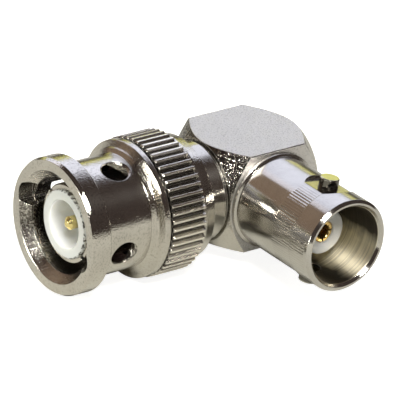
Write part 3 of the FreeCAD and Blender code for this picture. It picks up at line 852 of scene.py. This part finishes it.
@dataclass
class CouplingNut(SubAssembly):
    """The knurled nut with its bayonet slots, in millimetres. Places along it count from its front.

    The knurl's clock is in degrees. Where the inside is painted dark is in turns from the top.
    """

    knurl_depth: float = 0.36
    knurl_rear: float = 13.5
    knurl_front: float = 9.4
    knurl_ribs: float = 54.0
    knurl_clock: float = 17.0
    knurl_rounding: float = 0.08
    knurl_crown: float = 0.02
    groove_band: tuple[float, float] = (0.45, 0.85)
    top_band: tuple[float, float] = (0.08, 0.03)
    shoulder_front: float = 7.8
    shoulder_rounding: float = 0.13
    mouth_radius: float = 5.75
    mouth_rim: float = 0.06
    inside_roughness: float = 0.13
    inside_glitter_depth: float = 0.062
    inside_painted_dark: float = 0.75
    dark_speckle_band: tuple[float, float] = (0.56, 0.48)
    painted_dark_from: float = 0.19
    painted_dark_to: float = 0.37
    painted_dark_fade: float = 0.015
    knurl_roughness: float = 0.2
    chamfer_front: float = 0.02
    chamfer_length: float = 0.38
    chamfer_outward: tuple[float, float] = (0.5, 0.6)
    chamfer_roughness: float = 0.12
    scallop_from: float = 0.04
    scallop_reach: float = 6.3
    scallop_front: float = 0.06
    scallop_depth: float = 1.75
    scallop_fade_out: float = 0.01
    scallop_fade_along: float = 0.02
    scallop_shade: float = 0.65

    def dress(self) -> None:
        """Dress the nut: bright outside, painted shade in the knurl's grooves, and a coarser machined
        inside with a painted dark reflection on part of it.
        """
        finish = PlatedFinish("nickel_nut", roughness=0.14, grain_size=0.18, grain_depth=0.018,
                              pit_share=0.35, glitter_size=0.2)
        tree = PlatedTree(finish, self.effects, self.layout.plug)
        low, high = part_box("coupling_nut")
        front = (self.layout.crossing.x - low.x) / MM
        self.dress_knurl(tree, finish, front, (high.z - low.z) / 2 / MM)
        self.dress_mouth(tree, front)
        self.paint("coupling_nut", tree.close(), "nickel_nut")

    def dress_knurl(self, tree: PlatedTree, finish: PlatedFinish, front: float, ribs: float) -> None:
        """Paint shade into the knurl's grooves, lighten its tops by wear and a painted highlight, and
        round it and the shoulder before it.

        Args:
            tree: The nut's material.
            finish: Values of its finish.
            front: Place of the nut's front along the axis.
            ribs: Radius over the ribs.
        """
        g = tree.graph
        knurled = tree.within(tree.along, front - self.knurl_rear, front - self.knurl_front)
        grooves = g.spread(tree.out, *(ribs - self.knurl_depth * part for part in self.groove_band))
        # painted shade in the knurl's grooves
        tree.darken(g.times(grooves, knurled))
        tree.roughen(knurled, self.knurl_roughness)
        shoulder = tree.within(tree.along, front - self.knurl_front, front - self.shoulder_front)
        rounding = g.plus(g.times(knurled, self.knurl_rounding),
                          g.times(shoulder, self.shoulder_rounding))
        g.feed(tree.edge_group.inputs["Width"], g.plus(rounding, finish.edge_width))
        # rib tops lighter: wear and a painted highlight
        tops = g.times(knurled, g.spread(tree.out, *(ribs - step for step in self.top_band)))
        tree.tint(tops, Tone.NICKEL_WEAR_AND_SHEEN.value)
        self.crown_ribs(tree, tops)

    def dress_mouth(self, tree: PlatedTree, front: float) -> None:
        """Give the inside its coarse sparkle with a speckled painted dark reflection on an arc of it,
        polish the rim's chamfer and paint shade into the slots' scallops.

        Args:
            tree: The nut's material.
            front: Place of the nut's front along the axis.
        """
        g = tree.graph
        inside = g.spread(tree.out, self.mouth_radius, self.mouth_radius - self.mouth_rim)
        tree.roughen(inside, self.inside_roughness)
        tree.raise_by(inside, g.times(tree.glitter, self.inside_glitter_depth))
        # painted dark reflection, speckled, on an arc of the inside
        way_round = g.maths("ABSOLUTE", tree.turn)
        painted_dark_arc = tree.within(way_round, self.painted_dark_from, self.painted_dark_to, self.painted_dark_fade)
        painted_dark = g.spread(tree.glitter, *self.dark_speckle_band, 0.0, self.inside_painted_dark)
        tree.darken(g.times(g.times(inside, painted_dark_arc), painted_dark))
        rim = tree.within(tree.along, front - self.chamfer_length, front - self.chamfer_front)
        outward = g.spread(tree.out, *(self.mouth_radius + step for step in self.chamfer_outward))
        tree.roughen(g.times(rim, outward), self.chamfer_roughness)
        wide = tree.within(tree.out, self.mouth_radius + self.scallop_from, self.scallop_reach,
                           self.scallop_fade_out)
        deep = tree.within(tree.along, front - self.scallop_depth, front - self.scallop_front,
                           self.scallop_fade_along)
        scallops = g.times(wide, deep)
        # painted shade in the slots' scallops
        tree.darken(g.times(scallops, self.scallop_shade))
        tree.raise_by(scallops, g.times(tree.glitter, self.inside_glitter_depth))

    def crown_ribs(self, tree: PlatedTree, tops: Socket) -> None:
        """Round the tops of the knurl's ribs.

        Args:
            tree: The nut's material.
            tops: Mask of the ribs' tops.
        """
        g = tree.graph
        turns = g.plus(tree.turn, self.knurl_clock / 360)
        wave = g.maths("COSINE", g.times(turns, self.knurl_ribs * FULL_TURN))
        tree.raise_by(tops, g.times(wave, -self.knurl_crown))


@dataclass
class PlugLine(SubAssembly):
    """Finger ring, insulator, pin, gasket and spring set of the plug."""

    bright_tip: float = 0.6
    tip_fade: float = 1.5
    shank_shade: float = 0.8

    def dress(self) -> None:
        """Dress the pieces inside the nut."""
        axis = self.layout.plug
        sprung = PlatedFinish("nickel_fingers", roughness=0.2, grain_depth=0.0015)
        fingers = PlatedTree(sprung, self.effects, axis).close()
        self.paint("plug_outer_contact", fingers, "nickel_contact")
        low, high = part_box("plug_dielectric")
        white = SoftFinish("plug_insulator", Tone.INSULATOR_PAINTED_DIM, Tone.INSULATOR_SHADE,
                           glow=0.8, shade_share=0.12, face=(self.layout.crossing.x - low.x) / MM,
                           ragged_radius=(high.z - low.z) / 2 / MM)
        self.paint("plug_dielectric", white.material(self.effects, axis), "white_insulator")
        gold = PlatedFinish("gold_pin", Tone.GOLD_BRIGHT, Tone.GOLD_SHADE, roughness=0.2)
        pin = PlatedTree(gold, self.effects, axis)
        tip = (self.layout.crossing.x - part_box("plug_pin")[0].x) / MM
        # painted shade on the pin's shank behind its tip
        shank = pin.graph.spread(pin.along, tip - self.bright_tip,
                                 tip - self.bright_tip * self.tip_fade, 0.0, self.shank_shade)
        pin.tint(shank, Tone.GOLD_SHANK_SHADE.value)
        self.paint("plug_pin", pin.close(), "gold_contact")
        rubber = SoftFinish("gasket_rubber", Tone.GASKET, Tone.NICKEL_SHADE, roughness=0.6)
        self.paint("face_gasket", rubber.material(self.effects, axis), "gasket_rubber")
        bare = PlatedFinish("spring_steel", Tone.STEEL, roughness=0.3)
        steel = PlatedTree(bare, self.effects, axis).close()
        for node in ("rear_thrust_washer", "front_thrust_washer", "wave_spring"):
            self.paint(node, steel, "spring_steel")
        WaveStrip(self.layout).make(steel)


@dataclass
class WaveStrip:
    """The wavy steel strip that the nut squeezes between the thrust washers, in millimetres."""

    layout: Layout
    inner_radius: float = 4.75
    thickness: float = 0.22
    waves: int = 3
    steps: int = 120
    squeezed: float = 0.4

    def make(self, material: bpy.types.Material) -> None:
        """Sweep the strip round its ring in place of the CAD node.

        Args:
            material: Finish of the strip.
        """
        low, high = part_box("wave_spring")
        outer = (high.z - low.z) / 2 / MM
        half, middle = self.thickness / 2, (low.x + high.x) / 2 / MM
        swing = (high.x - low.x) / 2 / MM - half
        corners = ((self.inner_radius, -half), (outer, -half), (outer, half), (self.inner_radius, half))
        count, centre = len(corners), self.layout.crossing
        points, faces = [], []
        for step in range(self.steps):
            turn = FULL_TURN * step / self.steps
            rise = middle - swing * math.sin(self.waves * turn)
            for radius, lift in corners:
                points.append(Vector(((rise + lift) * MM, centre.y + radius * MM * math.sin(turn),
                                      centre.z + radius * MM * math.cos(turn))))
            here, there = count * step, count * ((step + 1) % self.steps)
            faces += [(here + k, here + (k + 1) % count, there + (k + 1) % count, there + k)
                      for k in range(count)]
        mesh = bpy.data.meshes.new("wave_strip")
        mesh.from_pydata(points, [], faces)
        mesh.materials.append(material)
        strip = bpy.data.objects.new("wave_strip", mesh)
        bpy.context.scene.collection.objects.link(strip)
        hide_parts("wave_spring")
        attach(strip, "adapter_body")
        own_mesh(strip)
        LOG.info("wave_strip: %d faces, flattens with nut_slide", len(faces))


@dataclass
class Jack(SubAssembly):
    """Barrel, studs, insulator and contact of the jack, in millimetres and in turns from the top."""

    serrations: int = 100
    serration_depth: float = 0.017
    serration_shade: float = 0.16
    valley_band: tuple[float, float] = (0.22, 0.04)
    band_fade: float = 0.06
    step_line: float = 0.035
    step_shade: float = 0.7
    band_front: float = 14.3
    band_rear: float = 11.4
    rim_band_front: float = 16.6
    rim_band_from: float = 0.21
    rim_band_to: float = 0.33
    rim_band_fade: float = 0.004
    skin: float = 4.68
    skin_fade: float = 0.02
    bore_skin: float = 4.12
    bore_roughness: float = 0.42
    bore_line_depth: float = 0.03
    bore_mark_pitch: float = 0.13
    bore_mark_band: tuple[float, float] = (0.45, 0.62)
    bore_mark_share: float = 0.3
    bore_painted_shade: float = 0.93
    bright_from: float = 0.272
    bright_to: float = 0.45
    bright_fade: float = 0.025
    bright_waver: float = 0.02
    stud_cap: float = 0.09
    stud_shade: float = 0.85

    def dress(self) -> None:
        """Dress the jack's pieces."""
        axis = self.layout.jack
        plated = PlatedFinish("nickel_barrel", Tone.NICKEL_BARREL, roughness=0.16)
        barrel = PlatedTree(plated, self.effects, axis)
        self.serrate(barrel)
        self.brush_bore(barrel)
        self.paint("jack_barrel", barrel.close(), "nickel_barrel")
        smooth = PlatedFinish("nickel_stud", Tone.NICKEL_STUD, roughness=0.12, line_depth=0.0)
        stud = PlatedTree(smooth, self.effects, axis)
        top = (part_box("upper_stud")[1].z - self.layout.crossing.z) / MM
        # painted dark reflection on the stud's sides; the cap keeps the plain tone
        sides = stud.graph.spread(stud.out, top - self.stud_cap, top - self.stud_cap * 2, 0.0,
                                  self.stud_shade)
        stud.darken(sides)
        dressed = stud.close()
        for node in ("upper_stud", "lower_stud"):
            self.paint(node, dressed, "nickel_barrel")
        white = SoftFinish("jack_insulator", Tone.INSULATOR, Tone.INSULATOR_SHADE, glow=0.8)
        self.paint("jack_dielectric", white.material(self.effects, axis), "white_insulator")
        gold = PlatedFinish("gold_socket", Tone.GOLD, Tone.GOLD_SHADE, roughness=0.26)
        self.paint("jack_contact", PlatedTree(gold, self.effects, axis).close(), "gold_contact")

    def serrate(self, tree: PlatedTree) -> None:
        """Press fine straight serrations into the barrel's skin, and lower on both sides into its rim,
        with painted shade in their valleys and along the band's front step.

        Args:
            tree: The barrel's material.
        """
        g = tree.graph
        tooth = g.maths("PINGPONG", g.times(tree.turn, float(self.serrations)), 0.5)
        way_round = g.maths("ABSOLUTE", tree.turn)
        barrel_band = tree.within(tree.along, self.band_rear, self.band_front, self.band_fade)
        rim = tree.within(tree.along, self.band_front, self.rim_band_front, self.band_fade)
        flanks = tree.within(way_round, self.rim_band_from, self.rim_band_to, self.rim_band_fade)
        skin = g.spread(tree.out, self.skin, self.skin + self.skin_fade)
        pressed = g.times(g.maths("MAXIMUM", barrel_band, g.times(rim, flanks)), skin)
        tree.raise_by(pressed, g.times(tooth, self.serration_depth * 2))
        # painted shade in the serrations' valleys
        valley = g.spread(tooth, *self.valley_band, 0.0, self.serration_shade)
        tree.darken(g.times(pressed, valley))
        # painted shade: a dark line along the band's front step
        step = tree.within(tree.along, self.band_front - self.step_line,
                           self.band_front + self.step_line)
        tree.darken(g.times(g.times(step, skin), self.step_shade))

    def brush_bore(self, tree: PlatedTree) -> None:
        """Roughen the bore with coarser lines, and paint shade all round it but for a lit patch low on
        one side.

        Args:
            tree: The barrel's material.
        """
        g = tree.graph
        inside = g.spread(tree.out, self.bore_skin + self.skin_fade, self.bore_skin - self.skin_fade)
        tree.roughen(inside, self.bore_roughness)
        tree.tint(inside, Tone.NICKEL_BORED.value)
        tree.raise_by(inside, g.times(tree.lines, self.bore_line_depth))
        coarse = self.effects.place_lines(g, tree.frame, self.bore_mark_pitch)
        marks = g.spread(coarse, *self.bore_mark_band, 0.0, self.bore_mark_share)
        tree.darken(g.times(inside, marks))
        # painted shade all round the bore, leaving a painted lit patch low on one side
        waver = g.spread(tree.cloud, *GRAIN_BAND, -self.bright_waver, self.bright_waver)
        wavy = g.plus(tree.turn, waver)
        bright = tree.within(wavy, self.bright_from, self.bright_to, self.bright_fade)
        skin = g.spread(tree.out, self.bore_skin, self.bore_skin - 2 * self.skin_fade)
        painted_dark = g.times(skin, g.maths("SUBTRACT", 1.0, bright))
        tree.darken(g.times(painted_dark, self.bore_painted_shade))


# Studio


class LampShape(Enum):
    """Outlines of a lit panel."""

    OBLONG = "RECTANGLE"
    ROUND = "ELLIPSE"


@dataclass(frozen=True)
class Softbox:
    """A lit panel that faces the object, placed by where it stands as seen from there.

    Angles are in degrees, lengths in metres and the power in watts.
    """

    name: str
    azimuth: float
    elevation: float
    distance: float
    width: float
    height: float
    power: float
    colour: Colour
    shape: LampShape = LampShape.OBLONG

    def place(self, aim: Vector) -> None:
        """Add the light.

        Args:
            aim: Point that the panel faces. Azimuth 0 is towards +Y and 90 towards +X.
        """
        data = bpy.data.lights.new(self.name, "AREA")
        data.shape = self.shape.value
        data.size, data.size_y = self.width, self.height
        data.energy, data.color = self.power, self.colour
        turn, rise = math.radians(self.azimuth), math.radians(self.elevation)
        level = math.cos(rise)
        away = Vector((math.sin(turn) * level, math.cos(turn) * level, math.sin(rise)))
        light = bpy.data.objects.new(self.name, data)
        light.visible_camera = False
        light.location = aim + away * self.distance
        light.rotation_euler = away.to_track_quat("Z", "Y").to_euler()
        bpy.context.scene.collection.objects.link(light)


@dataclass
class Studio:
    """Pale floor, dim room, soft lights and the photograph's camera.

    Angles are in degrees, the floor in metres, the camera's distance and aim in millimetres and its
    scale in pixels to a millimetre.
    """

    layout: Layout
    azimuth: float = -38.21
    elevation: float = 25.61
    roll: float = 4.18
    distance: float = 539.6
    aim_right: float = 4.025
    aim_up: float = 2.12
    scale: float = 10.0486
    frame_width: float = 400.0
    sensor: float = 36.0
    clip: tuple[float, float] = (0.01, 10.0)
    floor_size: float = 3.0
    room: Colour = (0.066, 0.051, 0.046)
    paper: Colour = (0.57, 0.565, 0.51)
    paper_glow: float = 0.88
    fibres_per_metre: float = 400.0
    fibre_dimming: float = 0.97
    softboxes: tuple[Softbox, ...] = (
        Softbox("rear_softbox", 37, 41, 0.40, 0.56, 0.26, 0.71, (0.77, 0.82, 1.0)),
        Softbox("backdrop", 35, 16, 0.42, 0.60, 0.062, 0.12, (1.0, 0.99, 0.34)),
        Softbox("brown_wall", -30, 28, 0.42, 0.36, 0.36, 0.10, (1.0, 0.72, 0.50)),
        Softbox("left_fill", -80, 8, 0.45, 0.14, 0.13, 1.25, (1.0, 1.0, 0.96), LampShape.ROUND),
        Softbox("camera_fill", -150, 50, 0.50, 0.15, 0.15, 3.1, (1.0, 0.99, 0.96), LampShape.ROUND),
    )

    def set_up(self) -> None:
        """Build the whole studio."""
        self.light_room()
        self.lay_floor()
        for box in self.softboxes:
            box.place(self.layout.crossing)
        self.place_camera()
        bpy.context.scene.view_settings.view_transform = "Standard"

    def light_room(self) -> None:
        """Make a dim room, which shows white where the camera looks past the floor."""
        world = bpy.data.worlds.new("room")
        world.use_nodes = True
        world.node_tree.nodes.clear()
        g = Graph(world.node_tree)
        dim, white = (g.fill(g.node("ShaderNodeBackground"), Color=opaque(colour)).outputs["Background"]
                      for colour in (self.room, WHITE))
        g.fill(g.node("ShaderNodeOutputWorld"), Surface=for_camera(g, dim, white))
        bpy.context.scene.world = world

    def lay_floor(self) -> None:
        """Lay the paper floor under the object's lowest point."""
        low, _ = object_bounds()
        half = self.floor_size / 2
        corners = [(-half, -half, 0), (half, -half, 0), (half, half, 0), (-half, half, 0)]
        mesh = bpy.data.meshes.new("floor")
        mesh.from_pydata(corners, [], [(0, 1, 2, 3)])
        floor = bpy.data.objects.new("floor", mesh)
        floor.location.z = low.z
        bpy.context.scene.collection.objects.link(floor)
        floor.data.materials.append(self.paper_material())
        floor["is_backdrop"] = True

    def paper_material(self) -> bpy.types.Material:
        """Make the floor's matt paper, overexposed for the camera as in the photograph.

        Returns:
            The material.
        """
        made, g = new_material("paper")
        fibre = g.spread(g.noise(g.object_place(), self.fibres_per_metre), *GRAIN_BAND)
        colour = g.blend(fibre, self.paper, scaled(self.paper, self.fibre_dimming))
        matt = g.fill(g.node("ShaderNodeBsdfDiffuse"), Color=colour).outputs["BSDF"]
        glow = g.fill(g.node("ShaderNodeEmission"), Color=opaque(WHITE), Strength=self.paper_glow)
        both = g.node("ShaderNodeAddShader")
        for socket, shader in zip(both.inputs, (matt, glow.outputs["Emission"])):
            g.feed(socket, shader)
        g.fill(g.node("ShaderNodeOutputMaterial"), Surface=for_camera(g, matt, both.outputs["Shader"]))
        return made

    def place_camera(self) -> None:
        """Set the camera at the photograph's angle, distance and framing."""
        turn, rise = math.radians(self.azimuth), math.radians(self.elevation)
        level = math.cos(rise)
        back = Vector((math.sin(turn) * level, -math.cos(turn) * level, math.sin(rise)))
        across = Vector((0, 0, 1)).cross(back).normalized()
        rolled = Matrix.Rotation(math.radians(self.roll), 3, back)
        right, up = rolled @ across, rolled @ back.cross(across)
        aim = self.layout.crossing - (right * self.aim_right + up * self.aim_up) * MM
        data = bpy.data.cameras.new("photograph")
        data.sensor_width = self.sensor
        data.lens = self.scale * self.distance / self.frame_width * self.sensor
        data.clip_start, data.clip_end = self.clip
        camera = bpy.data.objects.new("photograph", data)
        turned = Matrix((right, up, back)).transposed().to_4x4()
        camera.matrix_world = Matrix.Translation(aim + back * self.distance * MM) @ turned
        bpy.context.scene.collection.objects.link(camera)
        bpy.context.scene.camera = camera


def main() -> None:
    """Build and dress the adapter, then light and frame it."""
    logging.basicConfig(level=logging.INFO, format="%(name)s: %(message)s")
    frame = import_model()
    layout = Layout.from_frame()
    effects = Effects.built()
    for assembly in (ElbowBlock, CouplingNut, PlugLine, Jack):
        assembly(effects, layout, frame["nodes"]).dress()
    Studio(layout).set_up()


if __name__ == "__main__":
    main()
